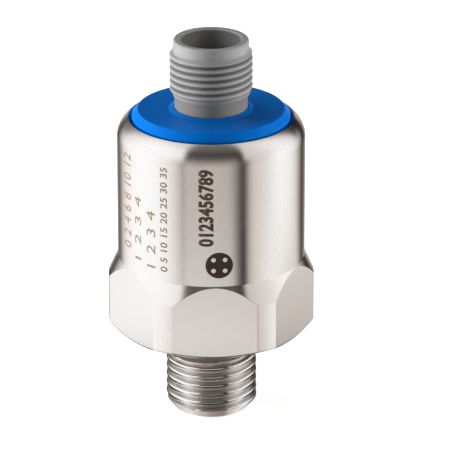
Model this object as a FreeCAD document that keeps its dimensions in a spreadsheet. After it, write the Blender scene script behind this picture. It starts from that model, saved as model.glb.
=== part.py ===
import FreeCAD, Part
import math
import operator
import os

import Sketcher

# Pressure transmitter with a G1/4 process stud and an M12 connector.
#
# Frame: the origin is the centre of the stud's end face, +Z runs up the turning axis to the connector,
# and one flat of the hexagon faces -Y. Millimetres.
#
# The housing is turned from one bar: stud, hexagon, drum, and a thin lip that is rolled over the cover ring.
# Inside it, from the bottom: a ceramic measuring cell on its seal, held by a threaded ring; a spacer sleeve
# that carries the main board; and the connector, whose flange stands on a step of the bore, under the cover ring.

SIZES = {
    # Process stud
    "stud_length": 12.0,
    "stud_radius": 6.53,
    "stud_tip_radius": 5.4,
    "stud_tip_chamfer": 1.4,
    "relief_radius": 5.45,
    "relief_width": 2.6,
    "relief_ramp": 0.8,
    "port_radius": 2.0,
    "port_mouth": 0.3,
    # Hexagon
    "across_flats": 27.0,
    "corner_rise": 1.28,
    "lower_chamfer_width": 2.98,
    "lower_chamfer_height": 1.5,
    "hexagon_height": 8.75,
    "upper_cone": 2.98,
    # Drum and rolled lip
    "drum_radius": 13.4,
    "drum_length": 17.77,
    "drum_wall": 1.4,
    "shoulder_radius": 3.5,
    "lip_overhang": 1.63,
    "lip_wall": 0.8,
    "crimp_depth": 4.0,
    # Measuring cell and what holds it
    "floor_thickness": 3.0,
    "cell_radius": 9.0,
    "cell_thickness": 6.35,
    "cell_recess_radius": 4.75,
    "cell_recess_corner": 0.5,
    "membrane_thickness": 0.6,
    "cell_clearance": 0.1,
    "cell_seal_radius": 6.6,
    "cell_seal_section": 2.0,
    "cell_groove_depth": 1.6,
    "cell_groove_width": 2.7,
    "seal_clearance": 0.01,
    "seal_bevel": 0.4,
    "ring_radius": 10.0,
    "ring_hole_radius": 7.0,
    "ring_height": 2.85,
    "ring_headroom": 0.4,
    "ring_land": 0.35,
    "ring_chamfer": 0.4,
    "ring_clearance": 0.05,
    "spanner_slot_width": 1.6,
    "spanner_slot_depth": 1.2,
    # Spacer sleeve and boards
    "sleeve_clearance": 0.1,
    "sleeve_wall": 1.0,
    "sleeve_play": 0.1,
    "ledge_height": 3.4,
    "ledge_width": 2.4,
    "board_thickness": 1.2,
    "board_clearance": 0.1,
    "hole_clearance": 0.08,
    "solder_tail": 0.7,
    # Connector
    "flange_thickness": 3.5,
    "flange_clearance": 0.12,
    "flange_seal_section": 1.6,
    "flange_groove_depth": 1.2,
    "flange_groove_width": 1.9,
    "flange_groove_height": 0.8,
    "flange_web": 1.975,
    "board_recess_depth": 1.5,
    "boss_radius": 8.5,
    "boss_height": 2.6,
    "neck_radius": 5.2,
    "connector_height": 15.0,
    "connector_thread_radius": 5.91,
    "connector_thread_length": 6.3,
    "connector_thread_chamfer": 0.5,
    "lead_radius": 5.375,
    "lead_length": 1.5,
    "rim_chamfer": 0.2,
    "socket_radius": 4.25,
    "socket_depth": 9.5,
    "key_width": 0.9,
    "key_depth": 0.6,
    "key_top_gap": 1.0,
    # Contact carrier and contacts
    "carrier_flange_radius": 6.5,
    "carrier_clearance": 0.05,
    "contact_circle_radius": 2.5,
    "contact_radius": 0.5,
    "contact_tail_radius": 0.35,
    "contact_tip_depth": 3.0,
    "contact_collar_height": 1.0,
    "moulding_gap": 0.02,
    # Cover ring
    "cover_thickness": 4.65,
    "cover_lip_gap": 0.51,
    "cover_bevel_width": 0.81,
    "cover_bevel_height": 0.93,
    "collar_width": 0.77,
    "collar_height": 0.35,
    "cover_clearance": 0.08,
    "crimp_gap": 0.05,
    # Board link
    "link_pitch": 2.54,
    "link_edge_margin": 0.4,
    "link_width": 2.5,
    "link_end": 1.3,
    "link_pin_width": 0.64,
    "header_height": 2.5,
    "link_socket_height": 4.5,
    "link_pin_insertion": 2.8,
    # Sensor pins
    "sensor_pin_radius": 0.3,
    "sensor_pin_offset": 5.0,
    # Board components: place of the middle and size of each body
    "signal_chip_width": 5.0,
    "signal_chip_height": 0.9,
    "driver_chip_width": 3.0,
    "driver_chip_height": 0.8,
    "driver_chip_inset": 4.6,
    "capacitor_length": 3.5,
    "capacitor_width": 2.0,
    "capacitor_height": 1.6,
    "capacitor_inset": 4.4,
    "capacitor_spacing": 3.0,
    "diode_length": 4.0,
    "diode_width": 2.2,
    "diode_height": 2.0,
    "diode_place": 3.6,
    "resistor_length": 1.6,
    "resistor_width": 0.8,
    "resistor_height": 0.45,
    "resistor_pitch": 1.6,
    "resistor_inset": 3.4,
    "chip_chamfer": 0.15,
    # How far a cutting outline runs past the material
    "cut_margin": 1.0,
}

LINK_PINS = 4
CONTACTS = 4
HEXAGON_SIDES = 6
SENSOR_PINS = 4
CAPACITORS = 2
RESISTORS = 4
SPANNER_SLOTS = 2

doc = FreeCAD.newDocument("pressure_transmitter")


# Lengths that follow the sheet ------------------------------------------------------------------------------


def make_sheet():
    """Puts every driving size into the spreadsheet, one row each: its name, and the number with its alias."""
    sheet = doc.addObject("Spreadsheet::Sheet", "Sizes")
    for row, (alias, value) in enumerate(SIZES.items(), start=1):
        sheet.set(f"A{row}", alias)
        sheet.set(f"B{row}", str(value))
        sheet.setAlias(f"B{row}", alias)
    doc.recompute()
    return sheet


OPERATIONS = {"+": operator.add, "-": operator.sub, "*": operator.mul, "/": operator.truediv}


class Length:
    """A length: its value in millimetres, and the expression over the sheet that gives it."""

    def __init__(self, value, expression):
        self.value = value
        self.expression = expression

    def __add__(self, other):
        return combined(self, "+", other)

    def __sub__(self, other):
        return combined(self, "-", other)

    def __mul__(self, other):
        return combined(self, "*", other)

    def __truediv__(self, other):
        return combined(self, "/", other)

    def __neg__(self):
        return Length(-self.value, f"-({self.expression})")


def as_length(number):
    """A Length as it is, and a plain number as a Length."""
    if isinstance(number, Length):
        return number
    return Length(float(number), repr(float(number)))


def combined(first, sign, second):
    first, second = as_length(first), as_length(second)
    value = OPERATIONS[sign](first.value, second.value)
    return Length(value, f"({first.expression} {sign} {second.expression})")


def root(square):
    return Length(math.sqrt(square.value), f"sqrt({square.expression})")


def size(alias):
    return Length(SIZES[alias], f"Sizes.{alias}")


# Sketches and features --------------------------------------------------------------------------------------


def new_body(label):
    body = doc.addObject("PartDesign::Body", label)
    body.Label = label
    return body


def origin_plane(body, role):
    return [feature for feature in body.Origin.OriginFeatures if feature.Role == role][0]


def new_sketch(body, name, role, height=None):
    """A sketch on a plane of the body's own origin, raised by height along the plane's normal if one is given."""
    sketch = body.newObject("Sketcher::SketchObject", name)
    sketch.AttachmentSupport = [(origin_plane(body, role), "")]
    sketch.MapMode = "FlatFace"
    if height is not None:
        sketch.AttachmentOffset = FreeCAD.Placement(FreeCAD.Vector(0, 0, height.value), FreeCAD.Rotation())
        sketch.setExpression("AttachmentOffset.Base.z", height.expression)
    return sketch


def place_point(sketch, geometry, vertex, across, up):
    """Holds a vertex at its two distances from the sketch's origin, each bound to its expression."""
    for kind, length, axis in (("DistanceX", across, -2), ("DistanceY", up, -1)):
        if length.value == 0:
            sketch.addConstraint(Sketcher.Constraint("PointOnObject", geometry, vertex, axis))
            continue
        ends = (-1, 1, geometry, vertex) if length.value > 0 else (geometry, vertex, -1, 1)
        distance = length if length.value > 0 else -length
        index = sketch.addConstraint(Sketcher.Constraint(kind, *ends, distance.value))
        sketch.setExpression(f"Constraints[{index}]", distance.expression)


def arc_centre(start, end, radius, turn):
    """Centre of the shorter arc from start to end; turn is +1 for an arc walked anticlockwise, -1 clockwise."""
    chord = end - start
    reach = math.sqrt(max(radius**2 - chord.Length**2 / 4, 0))
    left = FreeCAD.Vector(-chord.y, chord.x, 0).normalize()
    return (start + end) / 2 + left * reach * turn


def add_outline(sketch, corners, arcs=None):
    """A closed outline through corners, each an (across, up) pair. The stretch that starts at corner n is
    straight, or an arc where arcs[n] gives its (radius, turn)."""
    arcs = arcs or {}
    corners = [(as_length(across), as_length(up)) for across, up in corners]
    points = [FreeCAD.Vector(across.value, up.value, 0) for across, up in corners]
    first_vertex = []
    last_vertex = []
    stretches = []
    for number, start in enumerate(points):
        end = points[(number + 1) % len(points)]
        if number not in arcs:
            stretches.append(sketch.addGeometry(Part.LineSegment(start, end)))
            first_vertex.append(1)
            last_vertex.append(2)
            continue
        radius, turn = arcs[number]
        centre = arc_centre(start, end, radius.value, turn)
        low, high = (start, end) if turn > 0 else (end, start)
        angles = [math.atan2(point.y - centre.y, point.x - centre.x) for point in (low, high)]
        circle = Part.Circle(centre, FreeCAD.Vector(0, 0, 1), radius.value)
        stretches.append(sketch.addGeometry(Part.ArcOfCircle(circle, *angles)))
        first_vertex.append(1 if turn > 0 else 2)
        last_vertex.append(2 if turn > 0 else 1)
    for number, (across, up) in enumerate(corners):
        before = number - 1
        joined = (stretches[before], last_vertex[before], stretches[number], first_vertex[number])
        sketch.addConstraint(Sketcher.Constraint("Coincident", *joined))
        place_point(sketch, stretches[number], first_vertex[number], across, up)
    for number, (radius, turn) in arcs.items():
        index = sketch.addConstraint(Sketcher.Constraint("Radius", stretches[number], radius.value))
        sketch.setExpression(f"Constraints[{index}]", radius.expression)


def add_circle(sketch, across, up, radius):
    middle = FreeCAD.Vector(as_length(across).value, as_length(up).value, 0)
    circle = sketch.addGeometry(Part.Circle(middle, FreeCAD.Vector(0, 0, 1), radius.value))
    place_point(sketch, circle, 3, as_length(across), as_length(up))
    index = sketch.addConstraint(Sketcher.Constraint("Radius", circle, radius.value))
    sketch.setExpression(f"Constraints[{index}]", radius.expression)


def add_rectangle(sketch, left, right, low, high):
    add_outline(sketch, [(left, low), (right, low), (right, high), (left, high)])


def turn_outline(body, name, corners, arcs=None, feature="PartDesign::Revolution"):
    """Turns an outline of (radius, height) corners about Z; feature is Revolution to add or Groove to cut."""
    sketch = new_sketch(body, f"{name}_outline", "XZ_Plane")
    add_outline(sketch, corners, arcs)
    turned = body.newObject(feature, name)
    turned.Profile = sketch
    turned.ReferenceAxis = (sketch, ["V_Axis"])
    turned.Angle = 360
    sketch.Visibility = False
    return turned


def cut_turned(body, name, corners, arcs=None):
    return turn_outline(body, name, corners, arcs, feature="PartDesign::Groove")


def pad_up(body, name, sketch, height):
    """Adds material from the sketch upwards."""
    pad = body.newObject("PartDesign::Pad", name)
    pad.Profile = sketch
    pad.setExpression("Length", height.expression)
    return pad


def pocket_up(body, name, sketch, height):
    """Cuts from the sketch upwards, and stops if nothing was cut."""
    doc.recompute()
    before = body.Shape.Volume
    pocket = body.newObject("PartDesign::Pocket", name)
    pocket.Profile = sketch
    pocket.Reversed = True
    pocket.setExpression("Length", height.expression)
    doc.recompute()
    if not body.Shape.Volume < before:
        raise RuntimeError(f"{name} cut nothing")
    return pocket


def repeat_round_axis(body, name, feature, count):
    """Repeats a feature count times round Z, and makes the pattern the body's tip."""
    pattern = body.newObject("PartDesign::PolarPattern", name)
    pattern.Originals = [feature]
    pattern.Axis = (origin_axis(body), [""])
    pattern.Angle = 360
    pattern.Occurrences = count
    body.Tip = pattern
    return pattern


def origin_axis(body):
    return [feature for feature in body.Origin.OriginFeatures if feature.Role == "Z_Axis"][0]


def place_body(body, across, back, up):
    """Binds the body's place to three lengths."""
    for axis, length in zip("xyz", (across, back, up)):
        body.setExpression(f"Placement.Base.{axis}", as_length(length).expression)


def squeezed_section(middle_radius, middle_height, half_radial, half_axial):
    """Outline of a squeezed ring's section: flat where it is pressed, with its four corners bevelled."""
    bevel = size("seal_bevel")
    left, right = middle_radius - half_radial, middle_radius + half_radial
    low, high = middle_height - half_axial, middle_height + half_axial
    return [
        (left + bevel, low),
        (right - bevel, low),
        (right, low + bevel),
        (right, high - bevel),
        (right - bevel, high),
        (left + bevel, high),
        (left, high - bevel),
        (left, low + bevel),
    ]


def squeezed_half_length(section, squeezed):
    """Half the length of a round section, given by its diameter, once it is squeezed flat to a given height.
    The area stays: a flat between two half circles, each as high as the squeezed section."""
    flat = (section * section - squeezed * squeezed) * math.pi / (squeezed * 4)
    return (flat + squeezed) / 2


# Heights and radii that follow from the sizes ---------------------------------------------------------------

half_flats = size("across_flats") / 2
corner_radius = half_flats + size("corner_rise")
sealing_face_z = size("stud_length")
relief_bottom_z = sealing_face_z - size("relief_width")
stud_plain_top_z = relief_bottom_z - size("relief_ramp")
cone_bottom_z = sealing_face_z + size("hexagon_height")
drum_bottom_z = cone_bottom_z + size("upper_cone")
shoulder_z = drum_bottom_z + size("drum_length")

shoulder_centre_radius = size("drum_radius") - size("shoulder_radius")
lip_radius = size("drum_radius") - size("lip_overhang")
lip_reach = lip_radius - shoulder_centre_radius
lip_rise = root(size("shoulder_radius") * size("shoulder_radius") - lip_reach * lip_reach)
lip_z = shoulder_z + lip_rise
crimp_arc_radius = size("shoulder_radius") - size("lip_wall")
crimp_share = crimp_arc_radius / size("shoulder_radius")
crimp_radius = size("drum_radius") - size("lip_wall")
bore_radius = size("drum_radius") - size("drum_wall")
flange_seat_z = shoulder_z - size("crimp_depth")

cell_seat_z = sealing_face_z + size("floor_thickness")
cell_top_z = cell_seat_z + size("cell_thickness")
ring_step_z = cell_top_z - size("ring_land")
ring_top_z = cell_top_z + size("ring_height")
sleeve_seat_z = ring_top_z + size("ring_headroom")

main_board_z = sleeve_seat_z + size("ledge_height")
main_board_top_z = main_board_z + size("board_thickness")
sleeve_radius = bore_radius - size("sleeve_clearance")
sleeve_hole_radius = sleeve_radius - size("sleeve_wall")
main_board_radius = sleeve_hole_radius - size("board_clearance")

flange_top_z = flange_seat_z + size("flange_thickness")
flange_radius = crimp_radius - size("flange_clearance")
flange_groove_radius = flange_radius - size("flange_groove_depth")
carrier_bottom_z = flange_seat_z + size("board_recess_depth")
connector_board_z = carrier_bottom_z - size("board_thickness")
board_recess_radius = flange_groove_radius - size("flange_web")
connector_board_radius = board_recess_radius - size("board_clearance")
boss_top_z = flange_top_z + size("boss_height")
rim_z = flange_top_z + size("connector_height")
thread_top_z = rim_z - size("lead_length")
thread_bottom_z = thread_top_z - size("connector_thread_length")
carrier_top_z = rim_z - size("socket_depth")
contact_tip_z = rim_z - size("contact_tip_depth")
cover_top_z = flange_top_z + size("cover_thickness")

# Middle of a contact in the quarter away from the key; the others stand at quarter turns from it.
DIAGONAL = math.sqrt(2)
contact_place = size("contact_circle_radius") / DIAGONAL

# The board link's block runs along X, with its outer corners just inside the edge of the connector board.
link_half_length = size("link_pitch") * (LINK_PINS - 1) / 2 + size("link_end")
link_outer_face = root(connector_board_radius * connector_board_radius - link_half_length * link_half_length)
link_offset = link_outer_face - size("link_edge_margin") - size("link_width") / 2
link_pin_top_z = connector_board_z - size("link_socket_height") + size("link_pin_insertion")


# Pieces -----------------------------------------------------------------------------------------------------


def make_housing():
    """Turned outside with the six flats cut into it, then the stepped bore, the seal groove and the port."""
    body = new_body("housing")
    outside = [
        (0, 0),
        (size("stud_tip_radius"), 0),
        (size("stud_radius"), size("stud_tip_chamfer")),
        (size("stud_radius"), stud_plain_top_z),
        (size("relief_radius"), relief_bottom_z),
        (size("relief_radius"), sealing_face_z),
        (corner_radius - size("lower_chamfer_width"), sealing_face_z),
        (corner_radius, sealing_face_z + size("lower_chamfer_height")),
        (corner_radius, cone_bottom_z),
        (size("drum_radius"), drum_bottom_z),
        (size("drum_radius"), shoulder_z),
        (lip_radius, lip_z),
        (0, lip_z),
    ]
    turn_outline(body, "turned_outside", outside, {10: (size("shoulder_radius"), 1)})

    flat = new_sketch(body, "flat_outline", "XY_Plane", sealing_face_z)
    beyond = corner_radius + size("cut_margin")
    add_rectangle(flat, -beyond, beyond, -beyond, -half_flats)
    flat_cut = pocket_up(body, "flat_cut", flat, size("hexagon_height") + size("upper_cone"))
    repeat_round_axis(body, "hexagon_flats", flat_cut, HEXAGON_SIDES)
    doc.recompute()

    above_lip_z = lip_z + size("cut_margin")
    bore = [
        (0, cell_seat_z),
        (size("cell_radius") + size("cell_clearance"), cell_seat_z),
        (size("cell_radius") + size("cell_clearance"), ring_step_z),
        (size("ring_radius"), ring_step_z),
        (size("ring_radius"), sleeve_seat_z),
        (bore_radius, sleeve_seat_z),
        (bore_radius, flange_seat_z),
        (crimp_radius, flange_seat_z),
        (crimp_radius, shoulder_z),
        (shoulder_centre_radius + lip_reach * crimp_share, shoulder_z + lip_rise * crimp_share),
        (lip_radius, lip_z),
        (lip_radius, above_lip_z),
        (0, above_lip_z),
    ]
    cut_turned(body, "stepped_bore", bore, {8: (crimp_arc_radius, 1)})

    half_groove = size("cell_groove_width") / 2
    groove = [
        (size("cell_seal_radius") - half_groove, cell_seat_z - size("cell_groove_depth")),
        (size("cell_seal_radius") + half_groove, cell_seat_z - size("cell_groove_depth")),
        (size("cell_seal_radius") + half_groove, cell_seat_z),
        (size("cell_seal_radius") - half_groove, cell_seat_z),
    ]
    cut_turned(body, "seal_groove", groove)

    port = [
        (0, 0),
        (size("port_radius") + size("port_mouth"), 0),
        (size("port_radius"), size("port_mouth")),
        (size("port_radius"), cell_seat_z),
        (0, cell_seat_z),
    ]
    cut_turned(body, "pressure_port", port)
    return body


def make_cell_seal():
    """The ring in the floor of the pocket, squeezed between the groove and the cell."""
    squeezed = size("cell_groove_depth") - size("seal_clearance") * 2
    half_radial = squeezed_half_length(size("cell_seal_section"), squeezed)
    middle_z = cell_seat_z - size("cell_groove_depth") / 2
    body = new_body("cell_seal")
    section = squeezed_section(size("cell_seal_radius"), middle_z, half_radial, squeezed / 2)
    turn_outline(body, "squeezed_ring", section)
    return body


def make_ceramic_cell():
    """A thick disc, recessed from below so that a thin membrane is left at the top."""
    body = new_body("ceramic_cell")
    roof_z = cell_top_z - size("membrane_thickness")
    corner = size("cell_recess_corner")
    outline = [
        (0, roof_z),
        (size("cell_recess_radius") - corner, roof_z),
        (size("cell_recess_radius"), roof_z - corner),
        (size("cell_recess_radius"), cell_seat_z),
        (size("cell_radius"), cell_seat_z),
        (size("cell_radius"), cell_top_z),
        (0, cell_top_z),
    ]
    turn_outline(body, "recessed_disc", outline, {1: (corner, -1)})
    return body


def make_retaining_ring():
    """The threaded ring that holds the cell down, with two slots for a pin spanner."""
    body = new_body("retaining_ring")
    radius = size("ring_radius") - size("ring_clearance")
    chamfer = size("ring_chamfer")
    outline = [
        (size("ring_hole_radius"), cell_top_z),
        (radius - chamfer, cell_top_z),
        (radius, cell_top_z + chamfer),
        (radius, ring_top_z - chamfer),
        (radius - chamfer, ring_top_z),
        (size("ring_hole_radius") + chamfer, ring_top_z),
        (size("ring_hole_radius"), ring_top_z - chamfer),
    ]
    turn_outline(body, "turned_ring", outline)
    slot = new_sketch(body, "slot_outline", "XY_Plane", ring_top_z - size("spanner_slot_depth"))
    half_slot = size("spanner_slot_width") / 2
    inside, outside = size("ring_hole_radius") - size("cut_margin"), size("ring_radius") + size("cut_margin")
    add_rectangle(slot, inside, outside, -half_slot, half_slot)
    slot_cut = pocket_up(body, "slot_cut", slot, size("spanner_slot_depth"))
    repeat_round_axis(body, "spanner_slots", slot_cut, SPANNER_SLOTS)
    return body


def make_spacer_sleeve():
    """A thin tube down the bore, with a ledge at the bottom that carries the main board."""
    body = new_body("spacer_sleeve")
    sleeve_top_z = flange_seat_z - size("sleeve_play")
    outline = [
        (sleeve_radius - size("ledge_width"), sleeve_seat_z),
        (sleeve_radius, sleeve_seat_z),
        (sleeve_radius, sleeve_top_z),
        (sleeve_hole_radius, sleeve_top_z),
        (sleeve_hole_radius, main_board_z),
        (sleeve_radius - size("ledge_width"), main_board_z),
    ]
    turn_outline(body, "turned_sleeve", outline)
    return body


def make_cover_ring():
    """The ring under the rolled lip: its shoulder follows the inside of the lip, and a low cone closes on the neck."""
    body = new_body("cover_ring")
    arc_radius = crimp_arc_radius - size("crimp_gap")
    side_radius = lip_radius - size("cover_lip_gap")
    side_reach = side_radius - shoulder_centre_radius
    shoulder_top_z = shoulder_z + root(arc_radius * arc_radius - side_reach * side_reach)
    hole_radius = size("neck_radius") + size("cover_clearance")
    recess_radius = size("boss_radius") + size("cover_clearance")
    recess_z = boss_top_z + size("cover_clearance")
    outline = [
        (hole_radius, recess_z),
        (recess_radius, recess_z),
        (recess_radius, flange_top_z),
        (crimp_radius - size("crimp_gap"), flange_top_z),
        (crimp_radius - size("crimp_gap"), shoulder_z),
        (side_radius, shoulder_top_z),
        (side_radius, cover_top_z - size("cover_bevel_height")),
        (side_radius - size("cover_bevel_width"), cover_top_z),
        (hole_radius + size("collar_width"), cover_top_z),
        (hole_radius, cover_top_z + size("collar_height")),
    ]
    turn_outline(body, "turned_cover", outline, {4: (arc_radius, 1)})
    return body


def make_connector_shell():
    """The male M12 shell: rim, thread, neck and boss above the flange, and the coding key inside the socket."""
    body = new_body("connector_shell")
    groove_bottom_z = flange_seat_z + size("flange_groove_height")
    groove_top_z = groove_bottom_z + size("flange_groove_width")
    chamfer = size("connector_thread_chamfer")
    rim_chamfer = size("rim_chamfer")
    carrier_hole_radius = size("carrier_flange_radius") + size("carrier_clearance")
    outline = [
        (board_recess_radius, flange_seat_z),
        (flange_radius, flange_seat_z),
        (flange_radius, groove_bottom_z),
        (flange_groove_radius, groove_bottom_z),
        (flange_groove_radius, groove_top_z),
        (flange_radius, groove_top_z),
        (flange_radius, flange_top_z),
        (size("boss_radius"), flange_top_z),
        (size("boss_radius"), boss_top_z),
        (size("neck_radius"), boss_top_z),
        (size("neck_radius"), thread_bottom_z),
        (size("connector_thread_radius"), thread_bottom_z + chamfer),
        (size("connector_thread_radius"), thread_top_z - chamfer),
        (size("lead_radius"), thread_top_z),
        (size("lead_radius"), rim_z - rim_chamfer),
        (size("lead_radius") - rim_chamfer, rim_z),
        (size("socket_radius") + rim_chamfer, rim_z),
        (size("socket_radius"), rim_z - rim_chamfer),
        (size("socket_radius"), flange_top_z),
        (carrier_hole_radius, flange_top_z),
        (carrier_hole_radius, carrier_bottom_z),
        (board_recess_radius, carrier_bottom_z),
    ]
    turn_outline(body, "turned_shell", outline)
    key = new_sketch(body, "key_outline", "XY_Plane", carrier_top_z + size("carrier_clearance"))
    half_key = size("key_width") / 2
    inside_wall = -(size("socket_radius") + size("neck_radius")) / 2
    add_rectangle(key, -half_key, half_key, inside_wall, -(size("socket_radius") - size("key_depth")))
    key_length = size("socket_depth") - size("carrier_clearance") - size("key_top_gap")
    pad_up(body, "coding_key", key, key_length)
    return body


def make_connector_seal():
    """The ring in the flange's groove, squeezed against the bore of the housing."""
    squeezed = crimp_radius - flange_groove_radius - size("seal_clearance") * 2
    half_axial = squeezed_half_length(size("flange_seal_section"), squeezed)
    middle_radius = (crimp_radius + flange_groove_radius) / 2
    middle_z = flange_seat_z + size("flange_groove_height") + size("flange_groove_width") / 2
    body = new_body("connector_seal")
    section = squeezed_section(middle_radius, middle_z, squeezed / 2, half_axial)
    turn_outline(body, "squeezed_ring", section)
    return body


def make_contact_carrier():
    """The insert that holds the contacts; its foot seats under the shell, and each hole has a step."""
    body = new_body("contact_carrier")
    radius = size("socket_radius") - size("carrier_clearance")
    outline = [
        (0, carrier_bottom_z),
        (size("carrier_flange_radius"), carrier_bottom_z),
        (size("carrier_flange_radius"), flange_top_z),
        (radius, flange_top_z),
        (radius, carrier_top_z),
        (0, carrier_top_z),
    ]
    turn_outline(body, "turned_carrier", outline)
    collar_z = carrier_bottom_z + size("contact_collar_height")
    tail_hole = new_sketch(body, "tail_hole_outline", "XY_Plane", carrier_bottom_z)
    add_circle(tail_hole, contact_place, contact_place, size("contact_tail_radius") + size("moulding_gap"))
    tail_cut = pocket_up(body, "tail_hole", tail_hole, collar_z - carrier_bottom_z)
    repeat_round_axis(body, "tail_holes", tail_cut, CONTACTS)
    contact_hole = new_sketch(body, "contact_hole_outline", "XY_Plane", collar_z)
    add_circle(contact_hole, contact_place, contact_place, size("contact_radius") + size("moulding_gap"))
    contact_cut = pocket_up(body, "contact_hole", contact_hole, carrier_top_z - collar_z)
    repeat_round_axis(body, "contact_holes", contact_cut, CONTACTS)
    return body


def make_contact_pin(number):
    """One round contact: domed tip, shank, and a thinner tail that is soldered into the connector board."""
    body = new_body(f"contact_pin_{number + 1}")
    collar_z = carrier_bottom_z + size("contact_collar_height")
    tail_z = connector_board_z - size("solder_tail")
    outline = [
        (0, tail_z),
        (size("contact_tail_radius"), tail_z),
        (size("contact_tail_radius"), collar_z),
        (size("contact_radius"), collar_z),
        (size("contact_radius"), contact_tip_z - size("contact_radius")),
        (0, contact_tip_z),
    ]
    turn_outline(body, "turned_pin", outline, {4: (size("contact_radius"), 1)})
    across = contact_place if number in (0, 3) else -contact_place
    back = contact_place if number in (0, 1) else -contact_place
    place_body(body, across, back, 0)
    return body


def make_connector_board():
    """The round board in the shell's recess, with a hole for each contact's tail."""
    body = new_body("connector_board")
    disc = new_sketch(body, "disc_outline", "XY_Plane", connector_board_z)
    add_circle(disc, 0, 0, connector_board_radius)
    pad_up(body, "disc", disc, size("board_thickness"))
    hole = new_sketch(body, "tail_hole_outline", "XY_Plane", connector_board_z)
    add_circle(hole, contact_place, contact_place, size("contact_tail_radius") + size("hole_clearance"))
    cut = pocket_up(body, "tail_hole", hole, size("board_thickness"))
    repeat_round_axis(body, "tail_holes", cut, CONTACTS)
    return body


def sensor_pin_places():
    """(across, back) of each sensor pin, in a row along X."""
    first = -(size("link_pitch") * (SENSOR_PINS - 1) / 2)
    return [(first + size("link_pitch") * number, -size("sensor_pin_offset")) for number in range(SENSOR_PINS)]


def link_pin_places():
    """(across, back) of each pin of the board link, in a row along X."""
    first = -(size("link_pitch") * (LINK_PINS - 1) / 2)
    return [(first + size("link_pitch") * number, link_offset) for number in range(LINK_PINS)]


def make_main_board():
    """The round board on the sleeve's ledge, with holes for the sensor pins and the link pins."""
    body = new_body("main_board")
    disc = new_sketch(body, "disc_outline", "XY_Plane", main_board_z)
    add_circle(disc, 0, 0, main_board_radius)
    pad_up(body, "disc", disc, size("board_thickness"))
    holes = new_sketch(body, "hole_outlines", "XY_Plane", main_board_z)
    for across, back in sensor_pin_places():
        add_circle(holes, across, back, size("sensor_pin_radius") + size("hole_clearance"))
    for across, back in link_pin_places():
        add_circle(holes, across, back, size("link_pin_width") / DIAGONAL + size("hole_clearance"))
    pocket_up(body, "plated_holes", holes, size("board_thickness"))
    return body


def make_sensor_pin(number):
    """A round pin from the top of the cell through the main board."""
    body = new_body(f"sensor_pin_{number + 1}")
    shank = new_sketch(body, "shank_outline", "XY_Plane")
    add_circle(shank, 0, 0, size("sensor_pin_radius"))
    pad_up(body, "shank", shank, main_board_top_z + size("solder_tail") - cell_top_z)
    place_body(body, *sensor_pin_places()[number], cell_top_z)
    return body


def add_square(sketch, across, back, width):
    half = width / 2
    add_rectangle(sketch, across - half, across + half, back - half, back + half)


def add_link_block(body, bottom_z, height):
    """The plastic block of the header or the socket, with a square hole for each pin."""
    back = link_offset
    block = new_sketch(body, "block_outline", "XY_Plane", bottom_z)
    half_width = size("link_width") / 2
    add_rectangle(block, -link_half_length, link_half_length, back - half_width, back + half_width)
    pad_up(body, "block", block, height)


def cut_link_holes(body, bottom_z, depth):
    holes = new_sketch(body, "pin_hole_outlines", "XY_Plane", bottom_z)
    for across, back in link_pin_places():
        add_square(holes, across, back, size("link_pin_width") + size("moulding_gap") * 2)
    pocket_up(body, "pin_holes", holes, depth)


def make_board_header():
    """The strip on the main board that holds the link pins upright."""
    body = new_body("board_header")
    add_link_block(body, main_board_top_z, size("header_height"))
    cut_link_holes(body, main_board_top_z, size("header_height"))
    return body


def make_board_socket():
    """The strip under the connector board that takes the tops of the link pins."""
    body = new_body("board_socket")
    bottom_z = connector_board_z - size("link_socket_height")
    add_link_block(body, bottom_z, size("link_socket_height"))
    cut_link_holes(body, bottom_z, size("link_pin_insertion") + size("hole_clearance"))
    return body


def make_link_pin(number):
    """A square pin from under the main board up into the socket."""
    body = new_body(f"link_pin_{number + 1}")
    bottom_z = main_board_z - size("solder_tail")
    section = new_sketch(body, "pin_outline", "XY_Plane")
    add_square(section, as_length(0), as_length(0), size("link_pin_width"))
    pad_up(body, "pin", section, link_pin_top_z - bottom_z)
    place_body(body, *link_pin_places()[number], bottom_z)
    return body


def make_component(label, across, back, length, width, height):
    """A moulded component body on the main board, with its top edges broken."""
    body = new_body(label)
    outline = new_sketch(body, "body_outline", "XY_Plane")
    add_rectangle(outline, -length / 2, length / 2, -width / 2, width / 2)
    moulding = pad_up(body, "moulding", outline, height)
    doc.recompute()
    top_edges = [
        f"Edge{number}"
        for number, edge in enumerate(moulding.Shape.Edges, start=1)
        if all(abs(vertex.Z - height.value) < 1e-6 for vertex in edge.Vertexes)
    ]
    broken = body.newObject("PartDesign::Chamfer", "broken_edges")
    broken.Base = (moulding, top_edges)
    broken.setExpression("Size", size("chip_chamfer").expression)
    place_body(body, across, back, main_board_top_z)
    return body


def make_components():
    """The chips, capacitors, diode and resistors on top of the main board."""
    signal_width = size("signal_chip_width")
    driver_width = size("driver_chip_width")
    driver_offset = main_board_radius - size("driver_chip_inset")
    made = [
        make_component("signal_chip", 0, 0, signal_width, signal_width, size("signal_chip_height")),
        make_component("driver_chip", -driver_offset, 0, driver_width, driver_width, size("driver_chip_height")),
        make_component(
            "surge_diode",
            -driver_offset,
            -size("diode_place"),
            size("diode_length"),
            size("diode_width"),
            size("diode_height"),
        ),
    ]
    for number in range(CAPACITORS):
        back = -(size("capacitor_spacing") * number)
        made.append(
            make_component(
                f"filter_capacitor_{number + 1}",
                main_board_radius - size("capacitor_inset"),
                back,
                size("capacitor_length"),
                size("capacitor_width"),
                size("capacitor_height"),
            )
        )
    for number in range(RESISTORS):
        across = size("resistor_pitch") * (number - (RESISTORS - 1) / 2)
        made.append(
            make_component(
                f"chip_resistor_{number + 1}",
                across,
                -(main_board_radius - size("resistor_inset")),
                size("resistor_width"),
                size("resistor_length"),
                size("resistor_height"),
            )
        )
    return made


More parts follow.
